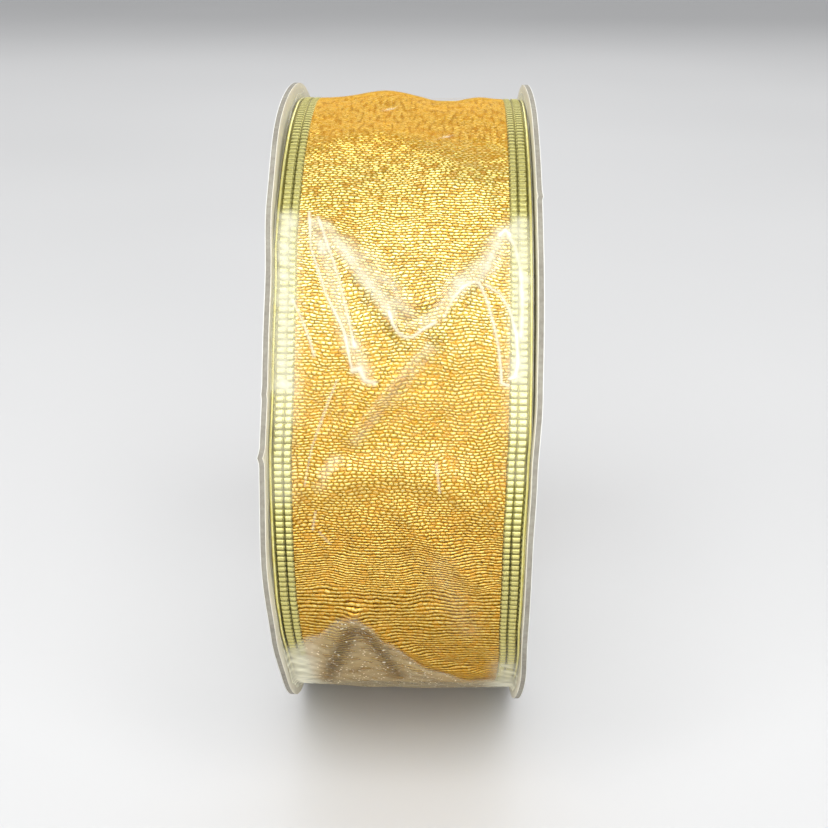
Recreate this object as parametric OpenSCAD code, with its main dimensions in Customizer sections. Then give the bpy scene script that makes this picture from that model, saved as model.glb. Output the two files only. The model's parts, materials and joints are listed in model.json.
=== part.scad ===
// Ribbon spool: two paper-faced board flanges glued to a paperboard core, one strip of
// wire-edged metallic mesh ribbon wound on it, and a clear film wrapped round the winding.
//
// The spool stands on its rims with its axle along X. Every piece is drawn about the local
// Z axis, and on_axle() lays that axis down: local +Z becomes -X, the left side, and local
// angles run from the front (-Y) over the top (+Z) to the back.

/* [Flanges] */
// Outside diameter of the flanges
flange_d = 110; // [109:1:125]
// Thickness of each flange's grey board
board_t = 0.7; // [0.5:0.1:1.5]
// Thickness of the paper on each face of the board
facing_t = 0.12; // [0.1:0.02:0.3]
// Diameter of the hole that takes a spindle
spindle_d = 19; // [12:1:25]

/* [Core] */
// Outside diameter of the core, with its outer ply
core_d = 76; // [70:1:76]
// Wall of the core's kraft plies
core_wall = 1.8; // [1.2:0.1:3]
// Thickness of the core's white outer ply
ply_t = 0.2; // [0.1:0.05:0.4]
// Leg of the glue bead inside each end of the core
bead_leg = 1.5; // [1:0.1:2.5]

/* [Ribbon] */
// Width of the ribbon, over its edge wires
ribbon_w = 38; // [25:1:64]
// Free play between the ribbon and each flange
side_play = 0.35; // [0.3:0.05:0.6]
// Thickness of the mesh web
web_t = 0.26; // [0.2:0.02:0.3]
// Width of each ribbed selvage
selvage_w = 2.8; // [2:0.2:4]
// Thickness of the ribbed selvages and of the edge wires
edge_t = 0.34; // [0.3:0.01:0.36]
// Radial growth of the winding with each turn
turn_pitch = 0.44; // [0.42:0.01:0.46]
// Whole turns on the core; 32 turns of this pitch hold about 9.1 m
turns = 32; // [20:1:32]
// Angle of arc that the free end of the ribbon covers
tail_arc = 50; // [30:1:55]
// Angle at which the free end leaves the winding
tail_angle = 150; // [145:1:160]

/* [Film] */
// Thickness of the clear film
film_t = 0.15; // [0.1:0.01:0.2]
// Radial growth of the film in its one turn
film_pitch = 0.5; // [0.5:0.01:0.6]
// Room between the winding and the film
film_room = 0.4; // [0.3:0.05:0.6]
// Angle at which the free end of the film leaves its turn
flap_angle = 140; // [135:1:144]
// Angle of arc that the free end of the film covers
flap_arc = 85; // [70:1:90]
// Angle of arc by which the film overlaps itself
film_overlap = 10; // [5:1:14]

/* [Hidden] */
$fn = 96;
left = 1;
right = -1;
fit = 0.03;

inner_w = ribbon_w + 2 * side_play;
flange_t = board_t + 2 * facing_t;

core_r = core_d / 2;
core_bore_r = core_r - ply_t - core_wall;

tape_t = 0.1;
tape_w = 12;
tape_arc = 16;

wire_w = edge_t;
web_w = ribbon_w - 2 * (selvage_w + wire_w) - 4 * fit;

wind_step = turn_pitch / 2;
wind_r = core_r + 1.5 * tape_t;
last_turn = 2 * (turns - 1);

film_step = film_pitch / 2;
film_r = wind_r + 2 * turns * wind_step + edge_t + film_room;
film_w = ribbon_w + side_play / 2;

cut = 0.1;

// ---- placing ----

module on_axle() {
    rotate([90, 0, -90]) children();
}

// A flat ring whose inner face lies at height z on the given side.
module ring(side, z, thickness, outer_r, inner_r) {
    on_axle()
        translate([0, 0, side > 0 ? z : -z - thickness])
            difference() {
                cylinder(h = thickness, r = outer_r);
                translate([0, 0, -1]) cylinder(h = thickness + 2, r = inner_r);
            }
}

// Part of half turn k of a two-centre spiral. Even halves turn about the origin and odd ones
// about a centre one step along the seam, so every half meets the next face to face.
// The children are the strip's cross-section, with its inner face on the Y axis.
module half_turn(r, step, k, start = 0, arc = 180) {
    translate([k % 2 == 0 ? 0 : step, 0, 0])
        rotate([0, 0, 180 * (k % 2) + start])
            rotate_extrude(angle = arc)
                translate([r + k * step, 0]) children();
}

// Half turns first to last of the ribbon's spiral, whose seam is at tail_angle.
module wind(first, last) {
    on_axle()
        rotate([0, 0, tail_angle])
            for (k = [first : last]) half_turn(wind_r, wind_step, k) children();
}

// The ribbon's free end, past the last whole turn.
module wind_tail() {
    gap = cut / (wind_r + 2 * turns * wind_step) * 180 / PI;
    on_axle()
        rotate([0, 0, tail_angle])
            half_turn(wind_r, wind_step, 2 * turns, gap, tail_arc - gap) children();
}

// ---- cross-sections of the ribbon ----

module web_section() {
    translate([(edge_t - web_t) / 2, -web_w / 2]) square([web_t, web_w]);
}

module selvage_section(side) {
    inner = web_w / 2 + fit;
    translate([0, side > 0 ? inner : -inner - selvage_w]) square([edge_t, selvage_w]);
}

// The wire is round where it shows, and four-sided in the turns under that.
module wire_section(side, sides = 24) {
    translate([edge_t / 2, side * (ribbon_w - wire_w) / 2])
        rotate(180 / sides) circle(d = wire_w, $fn = sides);
}

// ---- flanges ----

module board(side) {
    color("#b9b2a2")
        ring(side, inner_w / 2 + facing_t, board_t, flange_d / 2, spindle_d / 2);
}

module outer_facing(side) {
    color("#f4f2ea")
        ring(side, inner_w / 2 + facing_t + board_t, facing_t, flange_d / 2, spindle_d / 2);
}

module inner_facing(side) {
    color("#ebe7da")
        ring(side, inner_w / 2, facing_t, flange_d / 2, spindle_d / 2);
}

// ---- core ----

module core_tube() {
    color("#b08a5c")
        on_axle()
            translate([0, 0, -inner_w / 2])
                difference() {
                    cylinder(h = inner_w, r = core_r - ply_t);
                    translate([0, 0, -1]) cylinder(h = inner_w + 2, r = core_bore_r);
                }
}

module core_ply() {
    color("#efece2")
        on_axle()
            translate([0, 0, -inner_w / 2])
                difference() {
                    cylinder(h = inner_w, r = core_r);
                    translate([0, 0, -1]) cylinder(h = inner_w + 2, r = core_r - ply_t);
                }
}

// A fillet of hot glue where the core's bore meets the flange.
module glue_bead(side) {
    color("#d9b36a")
        on_axle()
            mirror([0, 0, side > 0 ? 0 : 1])
                rotate_extrude()
                    translate([core_bore_r, inner_w / 2])
                        polygon([[0, 0], [-bead_leg, 0], [-0.35 * bead_leg, -0.35 * bead_leg],
                                 [0, -bead_leg]]);
}

// The tab of tape that holds the ribbon's first end on the core.
module start_tape() {
    color("#e8e2c8")
        on_axle()
            rotate([0, 0, tail_angle - tape_arc / 2])
                rotate_extrude(angle = tape_arc)
                    translate([core_r, -tape_w / 2]) square([tape_t, tape_w]);
}

// ---- ribbon ----

module winding_web() {
    color("#c8922e") wind(0, last_turn - 1) web_section();
}

module winding_selvage(side) {
    color("#c9c26a") wind(0, last_turn - 1) selvage_section(side);
}

module winding_wire(side) {
    color("#e6d25c") wind(0, last_turn - 1) wire_section(side, sides = 4);
}

module outer_turn_web() {
    color("#d69d33") wind(last_turn, last_turn + 1) web_section();
}

module outer_turn_selvage(side) {
    color("#d2cc74") wind(last_turn, last_turn + 1) selvage_section(side);
}

module outer_turn_wire(side) {
    color("#eedb66") wind(last_turn, last_turn + 1) wire_section(side);
}

module tail_web() {
    color("#d69d33") wind_tail() web_section();
}

module tail_selvage(side) {
    color("#d2cc74") wind_tail() selvage_section(side);
}

module tail_wire(side) {
    color("#eedb66") wind_tail() wire_section(side);
}

// ---- film ----

module film_section() {
    translate([0, -film_w / 2]) square([film_t, film_w]);
}

// The film's one turn, from its inner end under the flap round to the flap.
module film_wrap() {
    inner_end = flap_arc - film_overlap;
    color("#e9eef0", 0.35)
        on_axle()
            rotate([0, 0, flap_angle]) {
                half_turn(film_r, film_step, 0, 180, inner_end - 180) film_section();
                half_turn(film_r, film_step, 1) film_section();
            }
}

// The film's free end, which covers the ribbon's free end and laps over the film's inner end.
module film_flap() {
    gap = cut / film_r * 180 / PI;
    color("#e9eef0", 0.35)
        on_axle()
            rotate([0, 0, flap_angle])
                half_turn(film_r, film_step, 2, gap, flap_arc - gap) film_section();
}

board(left);  // left_board
board(right);  // right_board
outer_facing(left);  // left_outer_facing
outer_facing(right);  // right_outer_facing
inner_facing(left);  // left_inner_facing
inner_facing(right);  // right_inner_facing
core_tube();
core_ply();
glue_bead(left);  // left_glue_bead
glue_bead(right);  // right_glue_bead
start_tape();
winding_web();
winding_selvage(left);  // winding_selvage_left
winding_selvage(right);  // winding_selvage_right
winding_wire(left);  // winding_wire_left
winding_wire(right);  // winding_wire_right
outer_turn_web();
outer_turn_selvage(left);  // outer_turn_selvage_left
outer_turn_selvage(right);  // outer_turn_selvage_right
outer_turn_wire(left);  // outer_turn_wire_left
outer_turn_wire(right);  // outer_turn_wire_right
tail_web();
tail_selvage(left);  // tail_selvage_left
tail_selvage(right);  // tail_selvage_right
tail_wire(left);  // tail_wire_left
tail_wire(right);  // tail_wire_right
film_wrap();
film_flap();
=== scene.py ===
import json
import math

import bpy
import numpy as np
from mathutils import Matrix, Vector


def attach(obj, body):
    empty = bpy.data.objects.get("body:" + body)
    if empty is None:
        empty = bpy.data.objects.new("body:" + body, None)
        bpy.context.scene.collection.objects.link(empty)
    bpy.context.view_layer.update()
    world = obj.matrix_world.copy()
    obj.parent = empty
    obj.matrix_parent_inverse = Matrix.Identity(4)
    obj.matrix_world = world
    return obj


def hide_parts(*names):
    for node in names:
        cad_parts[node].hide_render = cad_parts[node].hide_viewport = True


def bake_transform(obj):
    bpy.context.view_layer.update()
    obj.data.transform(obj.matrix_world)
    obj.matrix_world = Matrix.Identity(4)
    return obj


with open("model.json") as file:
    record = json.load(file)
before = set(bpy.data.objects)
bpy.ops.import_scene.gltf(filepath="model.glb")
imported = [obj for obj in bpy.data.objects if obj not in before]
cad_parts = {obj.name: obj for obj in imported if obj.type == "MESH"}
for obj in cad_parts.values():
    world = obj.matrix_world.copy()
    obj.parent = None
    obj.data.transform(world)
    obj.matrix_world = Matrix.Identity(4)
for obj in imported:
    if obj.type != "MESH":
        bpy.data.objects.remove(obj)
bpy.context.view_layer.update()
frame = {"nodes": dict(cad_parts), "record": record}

# Lengths are in millimetres and angles in degrees until polar() turns them into points in metres.
# Angles run round the axle from the front (-Y) over the top (+Z).

MM = 0.001
LEFT, RIGHT = -1, 1
SIDE_NAMES = {LEFT: "left", RIGHT: "right"}

# The flanges, which are flat out to WARP_R.
FLANGE_R = 55.0
BORE_R = 9.5
WARP_R = 20.0
INNER_FACE_X = 19.35
BOARD_T = 0.7
FACING_T = 0.12

# The ribbon, whose free end is its tail, and the floats of its mesh.
TURN_PITCH = 0.44
TAIL_ANGLE = 150.0
TAIL_END = 200.0
TAIL_R = 52.23
EDGE_T = 0.34
WEB_T = 0.26
WEB_X = 15.80
SELVAGE_X = (15.86, 18.63)
WIRE_X = 18.97
WIRE_R = 0.21
RIB_PITCH = 1.03
RIB_HEIGHT = 0.22
SELVAGE_T = 0.12
FLOAT_ROW = 0.5
FLOAT_LENGTH = 0.88

# The film, whose free end is its flap.
FILM_PITCH = 0.5
FLAP_ANGLE = 140.0
FLAP_END = 225.0
FILM_START = -145.0
FILM_R = 52.97
FILM_X = 19.25

# The radius at which arc lengths are taken, and the arc of one degree there.
ARC_R = 53.0
ARC = math.radians(1) * ARC_R
# How far a free end's piece starts before the angle at which it bends.
SEAM_LEAD = 2.0
# Data that a strip carries for its material.
STRIP_UV = "strip"
SHEEN_AND_DULLNESS = "sheen_and_dullness"
SHADE = "shade"


# ---- surfaces ----


def polar(x, angle, r):
    """Points in metres at x along the axle, at an angle and a radius."""
    a = np.radians(angle)
    return np.stack([x, -r * np.cos(a), r * np.sin(a)], axis=-1) * MM


def blend_max(p, q, width):
    """The larger of p and q, rounded off where they cross."""
    return 0.5 * (p + q + np.sqrt((p - q) ** 2 + width**2))


def wrapped(angle, start):
    """The same angle within the whole turn that begins at start."""
    return (angle - start) % 360 + start


def step(value, low, high):
    """0 below low and 1 above high, smooth between."""
    t = np.clip((value - low) / (high - low), 0, 1)
    return t * t * (3 - 2 * t)


def distance(x, angle, line):
    """Distance on the winding from (x, angle) to a line of such points, in mm."""
    nearest = np.full(np.shape(x), 1e9)
    s = angle * ARC
    for (x0, a0), (x1, a1) in zip(line, line[1:]):
        dx, ds = x1 - x0, (a1 - a0) * ARC
        t = np.clip(((x - x0) * dx + (s - a0 * ARC) * ds) / max(dx * dx + ds * ds, 1e-9), 0, 1)
        nearest = np.minimum(nearest, np.hypot(x - x0 - t * dx, s - a0 * ARC - t * ds))
    return nearest


def ridges(x, angle, features):
    """Sum of ridges and dents: each is a height, a half width and the line that it follows."""
    total = np.zeros(np.shape(x))
    for height, width, line in features:
        total += height * np.exp(-((distance(x, angle, line) / width) ** 2))
    return total


def crumple(x, angle, size, seed):
    """Soft creased relief, about -1 to 1, that runs on round the spool with folds about size mm apart."""
    random = np.random.default_rng(seed)
    total = np.zeros(np.shape(x))
    turns = 2 * math.pi * ARC_R / size
    for _ in range(7):
        around = round(turns * random.uniform(0.35, 1.1))
        across = random.uniform(-1, 1) * 2 * math.pi / size
        phase = random.uniform(0, 2 * math.pi)
        wave = np.sin(np.radians(angle) * around + x * across + phase)
        total += 1 - 2 * np.abs(wave) ** 0.8
    return total / 5


def smooth_table(at, table):
    """Values of a table of (place, value) points, eased from one to the next."""
    knots = np.array([k for k, _ in table])
    values = np.array([v for _, v in table])
    k = np.clip(np.searchsorted(knots, at, side="right") - 1, 0, len(knots) - 2)
    t = (at - knots[k]) / (knots[k + 1] - knots[k])
    return values[k] + (values[k + 1] - values[k]) * t * t * (3 - 2 * t)


# How far each flange leans to the right at an angle: the thin board has warped.
WARP = {
    LEFT: [(-90, 0.1), (-56, 0.5), (-38, 0.6), (-24, 0.15), (-8, -0.3), (7, -0.05), (22, 0.4), (36, 0.4),
           (52, -0.3), (72, -0.7), (98, -0.25), (140, 0.2), (185, -0.2), (230, 0.2), (270, 0.1)],
    RIGHT: [(-90, 0.0), (-56, -0.1), (-38, 0.1), (-22, -0.35), (-4, -0.45), (8, -0.2), (20, 0.3), (36, 0.4),
            (53, 0.35), (73, 0.3), (98, -0.1), (140, -0.2), (185, 0.2), (230, -0.2), (270, 0.0)],
}


def sway(x, angle):
    """How far the ribbon and film give way along the axle where a flange leans in on them."""
    turn = wrapped(angle, -90)
    left = np.maximum(smooth_table(turn, WARP[LEFT]), 0)
    right = np.minimum(smooth_table(turn, WARP[RIGHT]), 0)
    share = x / (2 * FILM_X) + 0.5
    return 0.95 * (left * (1 - share) + right * share)


# ---- the ribbon's relief under the film ----

# Folds of the web that show from the front: height and half width in mm, then (x, angle) points.
FOLDS = [
    (1.15, 5.0, [(-4.5, 99), (-3.5, 90)]),
    (-0.75, 3.6, [(6, 101), (6.5, 88)]),
    (0.25, 3.0, [(12.5, 100), (12.5, 90)]),
    (0.80, 4.2, [(-13, 68), (-4, 71), (2, 67), (6, 59), (15, 56)]),
    (-0.45, 4.0, [(8, 73), (15, 70)]),
    (0.70, 1.8, [(-13, 49), (-6, 40), (-0.4, 31.5)]),
    (0.65, 1.9, [(0.5, 30.5), (6, 34), (12, 42), (17, 49)]),
    (-0.60, 3.0, [(2, 45), (1, 37)]),
    (0.60, 1.7, [(3.5, 29), (-2, 22), (-7, 14)]),
    (-0.45, 3.4, [(9, 24), (8, 14)]),
    (-0.40, 2.4, [(-10, 28), (-12, 18)]),
    (0.75, 2.8, [(-16, 2), (-8, 7), (0, 8), (8, 6), (15, -1)]),
    (0.55, 1.6, [(0, 2), (6, -5), (14, -15)]),
    (-0.50, 2.6, [(-8, -6), (-12, -12)]),
    (-0.45, 2.4, [(2, -8), (5, -16)]),
    (0.60, 1.6, [(-6.9, -20), (-1, -29), (6, -37), (15, -43)]),
    (0.50, 1.3, [(-6.9, -20), (-12, -31), (-14, -40)]),
    (-0.65, 2.4, [(-6.5, -28), (-6, -36)]),
    (0.95, 3.2, [(3, -40), (9, -45), (15, -48)]),
]


# No dent goes further below the smooth spiral than this.
DEEPEST = -0.55


def relief(x, angle):
    """Height of the ribbon's outer face over its smooth spiral, in mm.

    The web has its folds on the front and is loosely crumpled behind. The edges only waver, and the
    tail lies flatter.
    """
    turn = wrapped(angle, -180)
    front = step(turn, -75, -55) * (1 - step(turn, 108, 125))
    folds = 0.20 + ridges(x, turn, FOLDS)
    loose = 0.35 + 0.30 * crumple(x, angle, 17, 5)
    web = front * folds + (1 - front) * loose + 0.05 * crumple(x, angle, 6, 9)
    inside = 1 - step(np.abs(x), 10.5, 16.0)
    edge = 0.08 * crumple(0 * x, angle + 7 * np.sign(x), 23, 3)
    high = blend_max(web, DEEPEST, 0.15)
    tail = 1 - 0.8 * step(angle, TAIL_ANGLE - 20, TAIL_ANGLE)
    return (high * inside + (0.10 + edge) * (1 - inside)) * tail


def ribbon_r(angle):
    """Radius of the inner face of the ribbon's outer turn and tail."""
    return TAIL_R + TURN_PITCH * (angle - TAIL_ANGLE) / 360


# ---- the film ----

# Creases of the film: height and half width in mm, then (x, angle) points.
CREASES = [
    (0.12, 0.20, [(-14.3, 51.5), (-13.7, 44.5), (-11.5, 36.5), (-8.6, 30.4), (-7.6, 25.5), (-7.2, 24)]),
    (0.10, 0.20, [(-12.9, 50.3), (-10.3, 41.9), (-8.2, 33.3), (-7.0, 28)]),
    (0.14, 0.22, [(-2.0, 33.4), (-1.4, 31.4), (-0.6, 30.0), (0.4, 29.4), (1.6, 29.5), (3.1, 30.8),
                  (4.9, 31.9)]),
    (0.08, 0.22, [(6.2, 33.0), (7.3, 35.6), (8.8, 37.7), (10.3, 38.6), (11.2, 38.5)]),
    (0.04, 0.45, [(11.2, 38.8), (12.5, 41.2), (13.6, 44.8), (14.6, 46.9)]),
    (0.11, 0.20, [(14.2, 47.2), (15.1, 48.4), (15.9, 47.4)]),
    (0.10, 0.20, [(-16.4, 35.5), (-15.3, 33.2), (-14.0, 30.0), (-12.9, 26.5)]),
    (0.14, 0.22, [(11.4, 38.1), (12.3, 35.9), (13.3, 32.1), (14.1, 28.3), (14.5, 24.5), (14.6, 22.5),
                  (15.6, 22.1)]),
    (0.13, 0.22, [(12.2, 38.3), (14.2, 36.9), (15.7, 34.2), (16.7, 30.2), (17.0, 25.8), (16.6, 23.6),
                  (15.8, 23.2)]),
    (0.08, 0.25, [(15.6, 47.4), (16.5, 45.2), (17.3, 41.2), (17.6, 35), (17.4, 30)]),
    (0.06, 0.16, [(-9.6, 22.5), (-10.8, 19), (-12.8, 12), (-13.9, 5.6)]),
    (0.07, 0.18, [(5.5, 9.6), (6.1, 4.9)]),
    (0.06, 0.16, [(-12.3, 1.2), (-12.8, -2.2)]),
    (0.05, 0.16, [(-11.8, -2.6), (-10.3, -4.9)]),
    (0.14, 0.40, [(-7.2, 24.2), (-6.2, 24.4), (-5.4, 22.6), (-4.0, 22.2)]),
]

# Where the film is made dull and white as painted sheen and glare: strength and half width in mm, then (x,
# angle) points.
SHEEN_PATCHES = [
    (0.34, 0.9, [(-13.6, 49.5), (-11.9, 44)]),
    (0.30, 1.0, [(-12.2, 45), (-9.8, 36), (-7.8, 28)]),
    (0.42, 1.0, [(-11.6, 48.6), (-7.0, 40.6), (-1.8, 33.2)]),
    (0.28, 1.6, [(-8.0, 45), (-3.2, 39), (0.8, 33)]),
    (0.30, 1.1, [(3.6, 32.2), (6.2, 35.0), (8.4, 38.4)]),
    (0.42, 1.6, [(8.5, 38.6), (12.1, 41.8), (14.6, 47.6)]),
    (0.50, 1.6, [(17.3, 49.5), (17.7, 40), (17.2, 24)]),
    (0.56, 1.7, [(-17.4, 50), (-17.8, 38), (-17.4, 22)]),
    (0.22, 1.9, [(-17.4, 22), (-17.4, 4)]),
    (0.16, 1.9, [(17.4, 24), (17.4, 8)]),
    (0.30, 1.0, [(-7.0, 28), (-5.5, 24)]),
    (0.15, 0.9, [(4.0, 28), (-1.5, 20.5), (-6.5, 13)]),
    (0.15, 1.0, [(-9.5, 10), (-11.5, 6)]),
    (0.07, 2.2, [(6.5, -9), (11.0, -24)]),
    (0.30, 2.2, [(17.2, -38), (17.6, -52)]),
    (0.30, 2.0, [(-17.0, -36), (-17.4, -52)]),
]

# The lower edge of the clear part of the film: below it the film is slack and dull.
SLACK_EDGE = [(-19.2, -30), (-14, -26), (-9, -20.5), (-6.9, -19), (-4.8, -22), (-2.4, -27), (4.7, -36.6),
              (11.4, -43), (19.2, -46)]
# Folds in the slack part, painted dark as shade.
SLACK_FOLDS = [
    (0.80, 1.7, [(-7.9, -25), (-10.2, -33), (-13.6, -46)]),
    (0.75, 1.5, [(-5.3, -26), (-3.4, -33), (-1.0, -43)]),
    (0.35, 1.0, [(-8.6, -41), (-6.2, -39.5)]),
]


def film_base(angle):
    """Radius of the film's smooth spiral."""
    return FILM_R + FILM_PITCH * (angle - FILM_START) / 360


def film_r(x, angle):
    """Radius of the film: it lies on the ribbon's high folds and spans the hollows."""
    ribbon = ribbon_r(np.minimum(angle, TAIL_END)) + EDGE_T + relief(x, angle)
    over_tail = FILM_PITCH * step(angle, 205, FLAP_END)
    slack = 0.16 * crumple(x, angle, 15, 21) + 0.05 * crumple(x, angle, 5, 22)
    taut = film_base(angle) - 0.7 + slack
    turn = wrapped(angle, -180)
    curl = step(np.abs(x), 18.7, FILM_X) * (0.75 + 0.15 * np.sin(np.radians(angle) * 37 + x))
    creases = ridges(x, turn, CREASES)
    bulge = 1.1 * step(-turn, 33, 50) * (1 - step(-turn, 80, 110)) * (1 - 0.4 * (x / FILM_X) ** 2)
    return blend_max(ribbon + 0.12 + 0.2 * over_tail, taut + bulge, 0.25) + curl + creases


def slack_share(x, angle):
    """1 on the slack part of the film, 0 elsewhere."""
    turn = wrapped(angle, -180)
    edge = smooth_table(x, SLACK_EDGE)
    return step(edge - turn, 0, 3) * step(turn, -110, -80)


def film_sheen_and_dull(x, angle):
    """How dull and white the film is made, from 0 where it is clear to 1 where it hides what is under it.
    Along the creases, over the sheen patches and low by the flanges this is painted sheen and highlight
    lines; the slack part, the edges, patches of the back and the flap's end are dull too.
    """
    turn = wrapped(angle, -180)
    # Painted highlight lines along the creases.
    lines = np.clip(ridges(x, turn, CREASES) / 0.12, 0, 1)
    slack = slack_share(x, angle)
    # low: painted sheen low on the front by the flanges.
    low = step(-turn, 24, 46) * step(turn, -110, -80) * step(np.abs(x), 13, 18)
    patches = ridges(x, turn, SHEEN_PATCHES) + (0.56 - 0.28 * step(np.abs(x), 14, 17)) * slack + 0.30 * low
    edge = 0.3 * step(np.abs(x), 19.0, 19.2)
    back = 1 - step(turn, -100, -80) * (1 - step(turn, 60, 80))
    behind = 0.75 * np.clip(crumple(x, angle, 11, 40), 0, 1) ** 3 * back
    behind = behind + 0.35 * step(angle, FLAP_END - 0.7, FLAP_END - 0.3)
    return np.clip(0.55 * lines + patches * (1 + 0.35 * crumple(x, angle, 5, 41)) + edge + behind, 0, 1)


def film_shade(x, angle):
    """How far the slack film is in its own shade, from 0 to 1."""
    turn = wrapped(angle, -180)
    middle = 1 - step(np.abs(x), 12, 17)
    return slack_share(x, angle) * middle * np.clip(0.45 + 0.6 * ridges(x, turn, SLACK_FOLDS), 0, 1)


# ---- meshes ----


def make_mesh(name, points, faces, uv=None, sharp=40):
    """A smooth-shaded piece whose edges past the angle sharp stay crisp."""
    mesh = bpy.data.meshes.new(name)
    mesh.from_pydata(points.tolist(), [], faces)
    mesh.update()
    mesh.polygons.foreach_set("use_smooth", np.ones(len(mesh.polygons), bool))
    mesh.set_sharp_from_angle(angle=math.radians(sharp))
    if uv is not None:
        corner = np.zeros(len(mesh.loops), np.int32)
        mesh.loops.foreach_get("vertex_index", corner)
        layer = mesh.uv_layers.new(name=STRIP_UV)
        layer.data.foreach_set("uv", uv[corner].astype(np.float32).ravel())
    piece = bpy.data.objects.new(name, mesh)
    bpy.context.scene.collection.objects.link(piece)
    return piece


def grid_faces(rows, cols, offset=0, flip=False):
    """Quads of a grid of points, row by row, facing away from the axle."""
    i = offset + np.arange((rows - 1) * cols).reshape(rows - 1, cols)[:, :-1].ravel()
    corners = [i, i + 1, i + cols + 1, i + cols]
    return np.stack(corners[::-1] if flip else corners, axis=1)


def strip(name, xs, angles, r_of, thickness, values=None):
    """A strip wound round the axle, with r_of its outer face. Thickness 0 makes one layer.

    values holds functions of (x, angle), each stored on the points under its key.
    """
    x, angle = np.meshgrid(xs, angles)
    r = r_of(x, angle)
    rows, cols = r.shape
    side_x = x + sway(x, angle)
    points = polar(side_x, angle, r).reshape(-1, 3)
    uv = np.stack([x.ravel(), angle.ravel() * ARC], axis=1)
    faces = grid_faces(rows, cols)
    if thickness:
        inner = polar(side_x, angle, r - thickness).reshape(-1, 3)
        count = rows * cols
        rim = np.concatenate([
            np.arange(cols),
            np.arange(1, rows) * cols + cols - 1,
            count - 1 - np.arange(1, cols),
            (rows - 2 - np.arange(rows - 2)) * cols,
        ])
        following = np.roll(rim, -1)
        walls = np.stack([rim, rim + count, following + count, following], axis=1)
        faces = np.concatenate([faces, grid_faces(rows, cols, count, flip=True), walls])
        points = np.concatenate([points, inner])
        uv = np.concatenate([uv, uv])
    piece = make_mesh(name, points, faces.tolist(), uv)
    for key, value_of in (values or {}).items():
        layer = piece.data.attributes.new(key, "FLOAT", "POINT")
        layer.data.foreach_set("value", value_of(x, angle).astype(np.float32).ravel())
    return piece


def tube(name, x, angles, r_of, radius, sides=8):
    """A round wire at x that follows the winding, with closed ends."""
    turn = np.arange(sides) * 2 * math.pi / sides
    angle, t = np.meshgrid(angles, turn, indexing="ij")
    across = x + radius * np.cos(t) + sway(x, angle)
    r = r_of(np.full_like(angle, x), angle) + radius * np.sin(t)
    points = polar(across, angle, r).reshape(-1, 3)
    i = np.arange((len(angles) - 1) * sides)
    following = i - i % sides + (i + 1) % sides
    faces = np.stack([i, i + sides, following + sides, following], axis=1).tolist()
    last = (len(angles) - 1) * sides
    faces.append(list(range(sides)))
    faces.append([last + k for k in reversed(range(sides))])
    return make_mesh(name, points, faces, sharp=180)


# Small knocks in each rim: angle, half width in degrees and depth in mm.
NICKS = {
    LEFT: [(10.6, 0.7, 0.12), (33.0, 0.5, 0.10), (-31.0, 0.8, 0.08)],
    RIGHT: [(15.5, 0.45, 0.30), (-20.8, 0.35, 0.25), (47.0, 0.5, 0.08)],
}

# Small burrs on each rim: angle, half width in degrees and how far each stands out in mm.
BURRS = {
    LEFT: [(10.6, 0.7, 0.35), (20.5, 0.4, 0.15)],
    RIGHT: [(53.5, 0.4, 0.25)],
}


def flange_layer(node, side, low_x, high_x):
    """One layer of a flange, from low_x to high_x out from the middle of the spool."""
    rings = np.array([BORE_R, 15, 22, 29, 36, 42, 47, 51, 53, 54.2, FLANGE_R - 0.05, FLANGE_R])
    angles = np.arange(-90, 270, 0.75)
    soft = 0.02
    section = [(low_x + soft, FLANGE_R)] + [(low_x, r) for r in rings[-2::-1]]
    section = section[::-1] + [(high_x - soft, FLANGE_R)] + [(high_x, r) for r in rings[-2::-1]]
    x = np.array([p[0] for p in section])
    r = np.array([p[1] for p in section])
    rows, cols = len(angles), len(section)
    grid_x, angle = np.meshgrid(side * x, angles)
    grid_r = np.broadcast_to(r, grid_x.shape).copy()
    share = np.clip((grid_r - WARP_R) / (FLANGE_R - WARP_R), 0, 1) ** 2
    grid_x = grid_x + share * smooth_table(angle, WARP[side])
    for at, width, depth in NICKS[side]:
        grid_r -= depth * np.exp(-(((angle - at) / width) ** 2)) * (grid_r > 54)
    for at, width, out in BURRS[side]:
        grid_x += side * out * np.exp(-(((angle - at) / width) ** 2)) * (grid_r > 54.5)
    points = polar(grid_x, angle, grid_r).reshape(-1, 3)
    i, j = np.meshgrid(np.arange(rows), np.arange(cols), indexing="ij")
    next_i, next_j = (i + 1) % rows, (j + 1) % cols
    corners = [i * cols + j, i * cols + next_j, next_i * cols + next_j, next_i * cols + j]
    faces = np.stack([c.ravel() for c in (corners if side > 0 else corners[::-1])], axis=1)
    piece = make_mesh(node + "_visual", points, faces.tolist())
    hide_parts(node)
    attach(piece, "spool")
    return piece


# ---- materials ----


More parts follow.
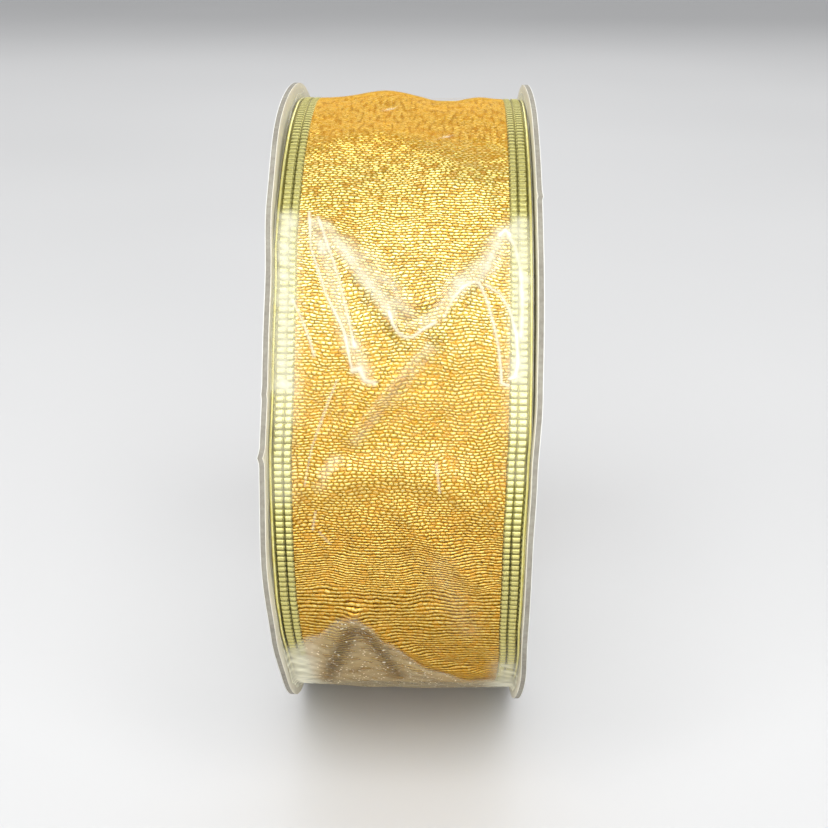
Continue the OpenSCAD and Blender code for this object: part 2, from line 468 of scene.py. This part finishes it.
class Look:
    """A node material with one Principled shader."""

    def __init__(self, name, **constants):
        self.material = bpy.data.materials.new(name)
        self.material.use_nodes = True
        self.tree = self.material.node_tree
        self.shader = self.tree.nodes["Principled BSDF"]
        self.set(**constants)

    def feed(self, socket, value):
        if isinstance(value, bpy.types.NodeSocket):
            self.tree.links.new(value, socket)
        else:
            socket.default_value = value

    def set(self, **values):
        for key, value in values.items():
            self.feed(self.shader.inputs[key.replace("_", " ")], value)

    def add(self, kind, output, inputs=None, **settings):
        """A new node's named output, with the node's inputs and settings filled in."""
        node = self.tree.nodes.new("ShaderNode" + kind)
        for key, value in settings.items():
            setattr(node, key, value)
        for key, value in (inputs or {}).items():
            self.feed(node.inputs[key], value)
        return node.outputs[output]

    def math(self, operation, a, b=0.0, c=0.0):
        return self.add("Math", 0, {0: a, 1: b, 2: c}, operation=operation)

    def mix(self, share, a, b):
        """Colour a where share is 0, and b where it is 1."""
        return self.add("Mix", 2, {0: share, 6: a, 7: b}, data_type="RGBA")

    def ramp(self, value, stops):
        output = self.add("ValToRGB", "Color", {"Fac": value})
        elements = output.node.color_ramp.elements
        while len(elements) < len(stops):
            elements.new(0.5)
        for element, (place, colour) in zip(elements, stops):
            element.position = place
            element.color = colour
        return output

    def place(self):
        """Points of the object in its own coordinates."""
        return self.add("TexCoord", "Object")

    def strip(self):
        """(x, arc length from the front) on a wound strip, in mm."""
        return self.add("UVMap", "UV", uv_map=STRIP_UV)

    def winding(self):
        """(x, arc length from the back) on a CAD solid of the winding, in mm."""
        spot = self.add("SeparateXYZ", "X", {0: self.place()})
        turn = self.math("ARCTAN2", spot.node.outputs["Z"], spot.node.outputs["Y"])
        x, s = self.math("DIVIDE", spot, MM), self.math("MULTIPLY", turn, ARC_R)
        return self.add("CombineXYZ", 0, {0: x, 1: s})

    def scaled(self, vector, factors, extra=None):
        """vector times factors, plus extra if there is any."""
        if extra is None:
            return self.add("VectorMath", 0, {0: vector, 1: factors}, operation="MULTIPLY")
        return self.add("VectorMath", 0, {0: vector, 1: factors, 2: extra}, operation="MULTIPLY_ADD")

    def between(self, value, low, high, to_low=0.0, to_high=1.0):
        """value carried over from the range low..high, and held at its ends."""
        return self.add("MapRange", "Result", {0: value, 1: low, 2: high, 3: to_low, 4: to_high})

    def mask(self, value, stops):
        """A ramp of plain numbers."""
        return self.ramp(value, [(place, (level, level, level, 1)) for place, level in stops])

    def zone(self, y, reach, stops):
        """A level that changes along a strip, with arc length y. Each stop is an arc length and a level.

        reach is the greatest arc length that a stop may have, either way.
        """
        share = self.between(y, -reach, reach)
        return self.mask(share, [(0.5 + s / (2 * reach), level) for s, level in stops])

    def noise(self, vector, scale, detail=2.0, output="Fac"):
        return self.add("TexNoise", output, {"Vector": vector, "Scale": scale, "Detail": detail})

    def bump(self, height, strength, distance_mm):
        inputs = {"Height": height, "Strength": strength, "Distance": distance_mm * MM}
        self.set(Normal=self.add("Bump", "Normal", inputs))


class MeshLook(Look):
    """Metallic mesh: short rounded floats in wavering rows, each tilted its own way.

    Low on the front it is tight, with wider rows, deep gaps painted dark as shade and a warm gold.
    Above that it is open, and the crowns of its floats are painted paler as highlights.
    """

    def __init__(self, name, place):
        super().__init__(name, Metallic=1.0, Specular_Tint=(0.95, 0.66, 0.24, 1))
        self.where = place(self)
        self.lay_floats()
        self.height = self.rounded()
        self.set(Base_Color=self.tones_and_painted_shade(self.gold()))
        self.set(Roughness=self.math("MULTIPLY_ADD", self.luck, -0.22, 0.50))
        depth = self.math("MULTIPLY_ADD", self.tight, 0.9, 1.0)
        relieved = self.math("ADD", self.height, self.tilt())
        self.bump(self.math("MULTIPLY", relieved, depth), 1.0, 0.09)

    def lay_floats(self):
        """Rows of floats that waver, each row shifted by half a float and a jog of its own.

        y is the wavering arc length. across and along run from 0 to 1 over each float, and luck
        is its own random number.
        """
        waver = self.noise(self.where, 0.16, 1.0, "Color")
        shaken = self.noise(self.where, 1.1, 1.0, "Color")
        moved = self.scaled(shaken, (0.9, 0.40, 0), self.scaled(waver, (1.0, 2.0, 0), self.where))
        x = self.add("SeparateXYZ", "X", {0: moved})
        self.y = x.node.outputs["Y"]
        widened = self.math("ADD", self.y, self.between(self.y, -12.0, -58.0, 0.0, 17.0))
        row = self.math("DIVIDE", widened, FLOAT_ROW)
        line = self.math("FLOOR", row)
        jog = self.add("TexWhiteNoise", "Value", {"W": line}, noise_dimensions="1D")
        shift = self.math("MULTIPLY_ADD", line, 0.5, self.math("MULTIPLY", jog, 0.35))
        column = self.math("ADD", self.math("DIVIDE", x, FLOAT_LENGTH), shift)
        cell = self.add("CombineXYZ", 0, {0: self.math("FLOOR", column), 1: line})
        self.across = self.math("FRACT", row)
        self.along = self.math("FRACT", column)
        self.luck = self.add("TexWhiteNoise", "Value", {"Vector": cell}, noise_dimensions="2D")
        self.tight = self.zone(self.y, 100, [(-84, 0), (-66, 1), (-5, 1), (5, 0)])

    def rounded(self):
        """Height of each float, from 0 to 1. Where the mesh is tight, its ends are blunter."""
        skewed = self.math("POWER", self.across, 1.35)
        over = self.math("POWER", self.math("SINE", self.math("MULTIPLY", skewed, math.pi)), 0.9)
        ends = self.math("SINE", self.math("MULTIPLY", self.along, math.pi))
        blunt = self.math("POWER", ends, self.math("MULTIPLY_ADD", self.tight, -0.45, 0.55))
        return self.math("MULTIPLY", over, blunt)

    def tilt(self):
        """A slope for each float, along and across it."""
        first = self.add("SeparateXYZ", "X", {0: self.luck.node.outputs["Color"]})
        second = first.node.outputs["Y"]
        lean = self.math("MULTIPLY", self.centred(self.across), self.centred(first))
        yaw = self.math("MULTIPLY", self.centred(self.along), self.centred(second))
        return self.math("MULTIPLY_ADD", yaw, 2.4, self.math("MULTIPLY", lean, 1.6))

    def centred(self, value):
        return self.math("SUBTRACT", value, 0.5)

    def gold(self):
        """Colour from the dark gaps up the flanks of the floats to their crowns: painted shade in the gaps
        and painted highlights on the crowns.
        """
        warm = self.zone(self.y, 100, [(-84, 0.4), (-66, 1), (-2, 1), (27, 0), (80, 0), (100, 0.4)])
        lit = self.math("POWER", self.height, self.math("MULTIPLY_ADD", self.tight, 0.5, 1.0))
        # Painted shade in the gaps between floats, darker where the mesh is tight.
        gap = self.mix(self.tight, (0.34, 0.18, 0.02, 1), (0.07, 0.025, 0.001, 1))
        flank = self.mix(warm, (0.56, 0.41, 0.08, 1), (0.46, 0.21, 0.012, 1))
        # Each ramp ends in the pale colour of a painted highlight on the crowns; the paler one is used
        # above the warm zone.
        pale = self.ramp(lit, [(0.2, (0.54, 0.38, 0.05, 1)), (0.5, (0.80, 0.64, 0.15, 1)),
                               (0.8, (0.94, 0.86, 0.37, 1)), (1.0, (0.95, 0.94, 0.60, 1))])
        deep = self.ramp(lit, [(0.2, (0.62, 0.30, 0.02, 1)), (0.5, (0.95, 0.55, 0.06, 1)),
                               (0.8, (1.0, 0.76, 0.20, 1)), (1.0, (1.0, 0.86, 0.36, 1))])
        crown_highlight = self.mix(warm, pale, deep)
        side = self.mix(self.mask(lit, [(0.15, 0), (0.55, 1)]), flank, crown_highlight)
        return self.mix(self.mask(lit, [(0.0, 0), (0.30, 1)]), gap, side)

    def tones_and_painted_shade(self, gold):
        """gold with browner patches and floats and darker streaks near the top, and with painted shade: a
        browner belt across the front and a deeper orange near the top.
        """
        patches = self.noise(self.scaled(self.where, (0.9, 0.5, 0)), 1.0, 3.0)
        patches = self.mask(patches, [(0.35, 0.35), (0.6, 0)])
        gold = self.mix(patches, gold, (0.52, 0.26, 0.025, 1))
        # Painted shade: a browner belt across the front.
        shade_belt = self.zone(self.y, 100, [(9, 0), (17, 0.5), (23, 0.5), (31, 0)])
        gold = self.mix(shade_belt, gold, (0.60, 0.32, 0.03, 1))
        # Painted shade near the top: the floats turn a deeper orange there.
        crest = self.zone(self.y, 100, [(58, 0), (68, 1), (84, 1), (98, 0)])
        gold = self.mix(self.math("MULTIPLY", crest, 0.5), gold, (0.98, 0.56, 0.08, 1))
        streaks = self.noise(self.scaled(self.where, (1.5, 0.4, 0)), 1.0, 2.0)
        streaks = self.math("MULTIPLY", self.mask(streaks, [(0.36, 0.75), (0.52, 0)]), crest)
        gold = self.mix(streaks, gold, (0.46, 0.20, 0.01, 1))
        brown = self.mask(self.luck, [(0.0, 0.65), (0.25, 0.22), (0.40, 0)])
        return self.mix(brown, gold, (0.62, 0.29, 0.025, 1))


def rib_look(name, place):
    """Woven ribs: pale green-gold cords. Painted shade darkens the gap under each cord, the groove between
    the rows and the strip by the wire; it is deeper low on the front and near the top, where the cords are
    painted duller too.
    """
    look = Look(name, Metallic=0.85, Specular_Tint=(0.95, 0.90, 0.60, 1))
    where = place(look)
    y = look.add("SeparateXYZ", "Y", {0: where})
    x = look.math("ABSOLUTE", y.node.outputs["X"])
    rib = look.math("FRACT", look.math("DIVIDE", y, RIB_PITCH))
    # shade: how deep the painted shade is along the strip.
    shade = look.zone(y, 60, [(-60, 1), (-4.8, 1), (7.2, 0), (43.2, 0), (51.6, 0.5)])
    # Painted shade in the gap below each cord.
    gap = look.mask(rib, [(0.0, 0.9), (0.12, 0.8), (0.34, 0.4), (0.52, 0), (0.92, 0), (1.0, 0.8)])
    deep_gap_shade = look.mask(rib, [(0.0, 1), (0.30, 0.8), (0.48, 0)])
    # The groove between the rows and the strip by the wire are painted dark as shade.
    groove = look.math("COMPARE", x, 17.12, 0.09)
    border = look.math("GREATER_THAN", x, 18.5)
    dark = look.math("MAXIMUM", look.math("MAXIMUM", groove, border), gap)
    dark = look.math("MAXIMUM", dark, look.math("MULTIPLY", deep_gap_shade, look.math("MULTIPLY", shade, 0.8)))
    fibre = look.noise(where, 3.0, 2.0)
    pale = look.ramp(fibre, [(0.3, (0.74, 0.70, 0.23, 1)), (0.7, (0.94, 0.92, 0.44, 1))])
    pale = look.mix(look.math("MULTIPLY", shade, 0.55), pale, (0.50, 0.42, 0.12, 1))
    hollow_shade = look.mix(shade, (0.22, 0.19, 0.04, 1), (0.05, 0.045, 0.01, 1))
    look.set(Base_Color=look.mix(dark, pale, hollow_shade), Roughness=0.34)
    look.bump(fibre, 0.5, 0.05)
    return look.material


def wire_look():
    look = Look("edge_wire", Metallic=0.6, Roughness=0.25)
    tone = look.noise(look.place(), 900.0, 2.0)
    look.set(Base_Color=look.ramp(tone, [(0.3, (0.86, 0.78, 0.22, 1)), (0.7, (1.0, 0.95, 0.42, 1))]))
    look.bump(tone, 0.2, 0.02)
    return look.material


def film_look():
    """Clear film: more is mirrored towards grazing; creases and patches are made dull and white as painted
    sheen, and slack film is painted in shade with painted white glints.
    """
    look = Look("clear_film")
    mirror = look.add("Fresnel", "Fac", {"IOR": 1.5})
    haze = look.noise(look.place(), 260.0, 3.0)
    # The sheen attribute makes the film white and rough: painted sheen and highlight lines where it is
    # high.
    dull = look.add("Attribute", "Fac", attribute_name=SHEEN_AND_DULLNESS)
    shade = look.add("Attribute", "Fac", attribute_name=SHADE)
    # The film's colour: warm white, painted darker as shade on the slack film.
    shaded_tint = look.ramp(shade, [(0.0, (1.0, 0.98, 0.78, 1)), (0.45, (0.54, 0.44, 0.24, 1)),
                             (1.0, (0.05, 0.04, 0.02, 1))])
    # Painted white glints on the slack film, where it is in painted shade.
    painted_glint = look.mask(look.noise(look.place(), 2400.0, 0.0), [(0.72, 0), (0.77, 1)])
    painted_glint = look.math("MULTIPLY", painted_glint, look.math("MINIMUM", look.math("MULTIPLY", shade, 1.6), 0.7))
    look.set(Base_Color=look.mix(painted_glint, shaded_tint, (1.0, 0.93, 0.74, 1)))
    streaked = look.math("MULTIPLY_ADD", dull, look.math("MULTIPLY_ADD", haze, 0.9, 0.55), painted_glint)
    share = look.math("ADD", look.math("MULTIPLY_ADD", mirror, 0.08, 0.010), streaked)
    look.set(Alpha=look.add("Clamp", "Result", {"Value": share}))
    look.set(Roughness=look.math("MULTIPLY_ADD", dull, 0.5, 0.10))
    mirrored = look.math("MULTIPLY_ADD", dull, -4.0, 1.0)
    look.set(Metallic=look.add("Clamp", "Result", {"Value": mirrored}))
    return look.material


def paper_look(name, light, dark, scale, roughness, bump):
    """Paper or board: mottled tone with a fibrous surface. scale is the mottles to a metre."""
    look = Look(name, Roughness=roughness)
    where = look.place()
    mottle = look.noise(where, scale, 4.0)
    fibre = look.noise(where, scale * 9, 3.0)
    tone = look.math("MULTIPLY_ADD", fibre, 0.45, look.math("MULTIPLY", mottle, 0.55))
    look.set(Base_Color=look.ramp(tone, [(0.36, (*dark, 1)), (0.62, (*light, 1))]))
    look.bump(fibre, bump, 0.05)
    return look.material


def kraft_look():
    """Kraft tube: brown board with the seam of its plies winding along it."""
    look = Look("kraft", Roughness=0.8)
    where = look.place()
    x = look.add("SeparateXYZ", "X", {0: where})
    turn = look.math("ARCTAN2", x.node.outputs["Z"], x.node.outputs["Y"])
    coil = look.math("FRACT", look.math("MULTIPLY_ADD", x, 26.0, look.math("DIVIDE", turn, 2 * math.pi)))
    seam = look.mask(coil, [(0.0, 1), (0.012, 1), (0.02, 0)])
    fibre = look.noise(where, 700.0, 4.0)
    brown = look.ramp(fibre, [(0.3, (0.27, 0.17, 0.085, 1)), (0.7, (0.42, 0.29, 0.16, 1))])
    look.set(Base_Color=look.mix(seam, brown, (0.14, 0.085, 0.04, 1)))
    look.bump(fibre, 0.4, 0.05)
    return look.material


def glue_look():
    look = Look("hot_glue", Roughness=0.25)
    blobs = look.noise(look.place(), 350.0, 1.0)
    look.set(Base_Color=look.ramp(blobs, [(0.3, (0.55, 0.36, 0.12, 1)), (0.7, (0.80, 0.62, 0.30, 1))]))
    look.bump(blobs, 0.7, 0.5)
    return look.material


def floor_look():
    look = Look("floor", Roughness=0.45)
    tone = look.noise(look.place(), 3.0, 2.0)
    look.set(Base_Color=look.mask(tone, [(0.3, 0.64), (0.7, 0.68)]))
    return look.material


LOOKS = {
    "mesh": MeshLook("gold_mesh", Look.strip).material,
    "selvage": rib_look("selvage_ribs", Look.strip),
    "wire": wire_look(),
    "film": film_look(),
    "board": paper_look("grey_board", (0.36, 0.34, 0.28), (0.25, 0.23, 0.19), 160.0, 0.85, 0.3),
    "outer_facing": paper_look("white_paper", (0.93, 0.92, 0.88), (0.86, 0.85, 0.80), 30.0, 0.38, 0.08),
    "inner_facing": paper_look("cream_paper", (0.88, 0.85, 0.73), (0.80, 0.77, 0.65), 60.0, 0.7, 0.1),
    "core": kraft_look(),
    "core_ply": paper_look("core_paper", (0.85, 0.83, 0.76), (0.76, 0.74, 0.67), 60.0, 0.7, 0.2),
    "glue": glue_look(),
    "tape": paper_look("masking_tape", (0.80, 0.74, 0.55), (0.70, 0.64, 0.46), 200.0, 0.7, 0.5),
}

# The same cloth on CAD solids, which carry no strip coordinates.
CAD_LOOKS = {
    **LOOKS,
    "mesh": MeshLook("wound_mesh", Look.winding).material,
    "selvage": rib_look("wound_ribs", Look.winding),
}


def wear(piece, slot):
    """Give a piece the material of a slot."""
    piece.data.materials.clear()
    piece.data.materials.append(LOOKS[slot])
    return piece


# ---- pieces ----


def ribbon_outer(x, angle):
    """Radius of the ribbon's outer face."""
    return ribbon_r(angle) + EDGE_T + relief(x, angle)


def web_outer(x, angle):
    return ribbon_outer(x, angle) - (EDGE_T - WEB_T) / 2


def rib_outer(x, angle):
    """The selvage's face: rounded ribs in two rows, lower in the groove and along the wire."""
    phase = angle * ARC / RIB_PITCH
    rib = np.sqrt(np.abs(np.sin(math.pi * phase)))
    across = np.abs(x)
    inner_row = step(across, 15.9, 16.1) * (1 - step(across, 16.9, 17.02))
    outer_row = step(across, 17.24, 17.36) * (1 - step(across, 18.4, 18.5))
    rise = RIB_HEIGHT * (inner_row + outer_row) * (0.25 + 0.75 * rib)
    return ribbon_outer(x, angle) - RIB_HEIGHT + rise


def wire_centre(x, angle):
    return ribbon_outer(x, angle) - WIRE_R


def spaced(first, last, gap):
    """Angles from first to last, about gap apart."""
    return np.linspace(first, last, round((last - first) / gap) + 1)


def ribbon_stretch(prefix, first, last):
    """Web, selvages and wires of the ribbon from one angle to another."""
    pieces = []
    web_xs = np.linspace(-WEB_X, WEB_X, 49)
    web = strip(prefix + "web_visual", web_xs, spaced(first, last, 0.6), web_outer, WEB_T)
    pieces.append((web, "mesh", prefix + "web"))
    rib_columns = np.array([SELVAGE_X[0], 15.96, 16.12, 16.5, 16.88, 17.02, 17.14, 17.26, 17.38, 17.85,
                            18.36, 18.5, SELVAGE_X[1]])
    rib_step = RIB_PITCH / ARC / 6
    rib_angles = np.arange(math.ceil(first / rib_step), math.floor(last / rib_step) + 1) * rib_step
    wire_angles = spaced(first, last, 0.8)
    for side, side_name in SIDE_NAMES.items():
        xs = np.sort(side * rib_columns)
        selvage_name = prefix + "selvage_" + side_name
        selvage = strip(selvage_name + "_visual", xs, rib_angles, rib_outer, SELVAGE_T)
        pieces.append((selvage, "selvage", selvage_name))
        wire_name = prefix + "wire_" + side_name
        wire = tube(wire_name + "_visual", side * WIRE_X, wire_angles, wire_centre, WIRE_R)
        pieces.append((wire, "wire", wire_name))
    for piece, slot, node in pieces:
        wear(piece, slot)
        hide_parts(node)
    return [p for p, _, _ in pieces]


def bend_at(piece):
    """Bake the piece's placement into its points; it is attached to no body."""
    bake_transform(piece)


outer_turn = ribbon_stretch("outer_turn_", TAIL_ANGLE - 360, TAIL_ANGLE - SEAM_LEAD)
for piece in outer_turn:
    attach(piece, "spool")

tail = ribbon_stretch("tail_", TAIL_ANGLE - SEAM_LEAD, TAIL_END)
for piece in tail:
    bend_at(piece)

FILM_VALUES = {SHEEN_AND_DULLNESS: film_sheen_and_dull, SHADE: film_shade}
film_xs = np.linspace(-FILM_X, FILM_X, 193)
film_angles = np.concatenate([np.arange(FILM_START, -62, 0.9), np.arange(-62, 112, 0.25),
                              np.arange(112, FLAP_ANGLE - SEAM_LEAD, 0.9), [FLAP_ANGLE - SEAM_LEAD]])
film = wear(strip("film_wrap_visual", film_xs, film_angles, film_r, 0, FILM_VALUES), "film")
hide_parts("film_wrap")
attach(film, "spool")

flap_angles = np.arange(FLAP_ANGLE - SEAM_LEAD, FLAP_END + 0.1, 0.6)
flap = wear(strip("film_flap_visual", film_xs[::2], flap_angles, film_r, 0, FILM_VALUES), "film")
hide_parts("film_flap")
bend_at(flap)

FLANGE_LAYERS = [("inner_facing", FACING_T), ("board", BOARD_T), ("outer_facing", FACING_T)]
for side, side_name in SIDE_NAMES.items():
    low_x = INNER_FACE_X
    for slot, thickness in FLANGE_LAYERS:
        wear(flange_layer(side_name + "_" + slot, side, low_x, low_x + thickness), slot)
        low_x += thickness

# Every CAD solid gets the material of its slot too.
slot_of = {row["node"]: row["material_slot"] for row in frame["record"]["subparts"]}
for node, piece in frame["nodes"].items():
    piece.data.materials.clear()
    piece.data.materials.append(CAD_LOOKS[slot_of[node]])


# ---- floor, lights and camera ----

# Lengths of the floor and the lights are in metres.
FLOOR_Z = -FLANGE_R * MM
FLOOR_HALF = 6.0

corners = [(x * FLOOR_HALF, y * FLOOR_HALF, FLOOR_Z) for x, y in ((-1, -1), (1, -1), (1, 1), (-1, 1))]
mesh = bpy.data.meshes.new("floor")
mesh.from_pydata(corners, [], [(0, 1, 2, 3)])
floor = bpy.data.objects.new("floor", mesh)
bpy.context.scene.collection.objects.link(floor)
floor.data.materials.append(floor_look())

world = bpy.data.worlds.new("studio")
world.use_nodes = True
background = world.node_tree.nodes["Background"].inputs
background["Color"].default_value = (0.97, 0.98, 1.0, 1)
background["Strength"].default_value = 0.5
bpy.context.scene.world = world
bpy.context.scene.view_settings.view_transform = "Standard"


def outward(azimuth, elevation):
    """Direction from the spool, with azimuth 0 to the front and 90 to the right."""
    a, e = math.radians(azimuth), math.radians(elevation)
    return Vector((math.sin(a) * math.cos(e), -math.cos(a) * math.cos(e), math.sin(e)))


def aimed(name, data, location, back, roll=0.0):
    """A light or camera at location that faces away from back."""
    thing = bpy.data.objects.new(name, data)
    thing.location = location
    thing.rotation_mode = "QUATERNION"
    level = (-back).to_track_quat("-Z", "Y")
    thing.rotation_quaternion = level @ Matrix.Rotation(math.radians(roll), 3, "Z").to_quaternion()
    bpy.context.scene.collection.objects.link(thing)
    return thing


def panel(name, azimuth, elevation, distance_m, width, height, power):
    """A soft rectangular light that faces the spool."""
    light = bpy.data.lights.new(name, "AREA")
    light.shape = "RECTANGLE"
    light.size, light.size_y = width, height
    light.energy = power
    back = outward(azimuth, elevation)
    aimed(name, light, back * distance_m, back)


panel("window", 0, 53, 1.0, 0.9, 0.9, 5.7)
panel("front", 0, 17, 1.2, 1.2, 0.4, 4.2)
panel("back", 180, 35, 1.0, 1.2, 0.7, 3.2)
panel("left", -48, 50, 1.0, 0.25, 0.7, 1.8)
panel("right", 48, 50, 1.0, 0.25, 0.7, 1.8)

# The camera looks from a little to the right, 22 degrees above the horizon.
camera_data = bpy.data.cameras.new("camera")
camera_data.lens = 58.5
camera_data.clip_start = 0.01
camera_place = Vector((6.34, -231.3, 88.95)) * MM
bpy.context.scene.camera = aimed("camera", camera_data, camera_place, outward(1.36, 22.0), roll=0.32)
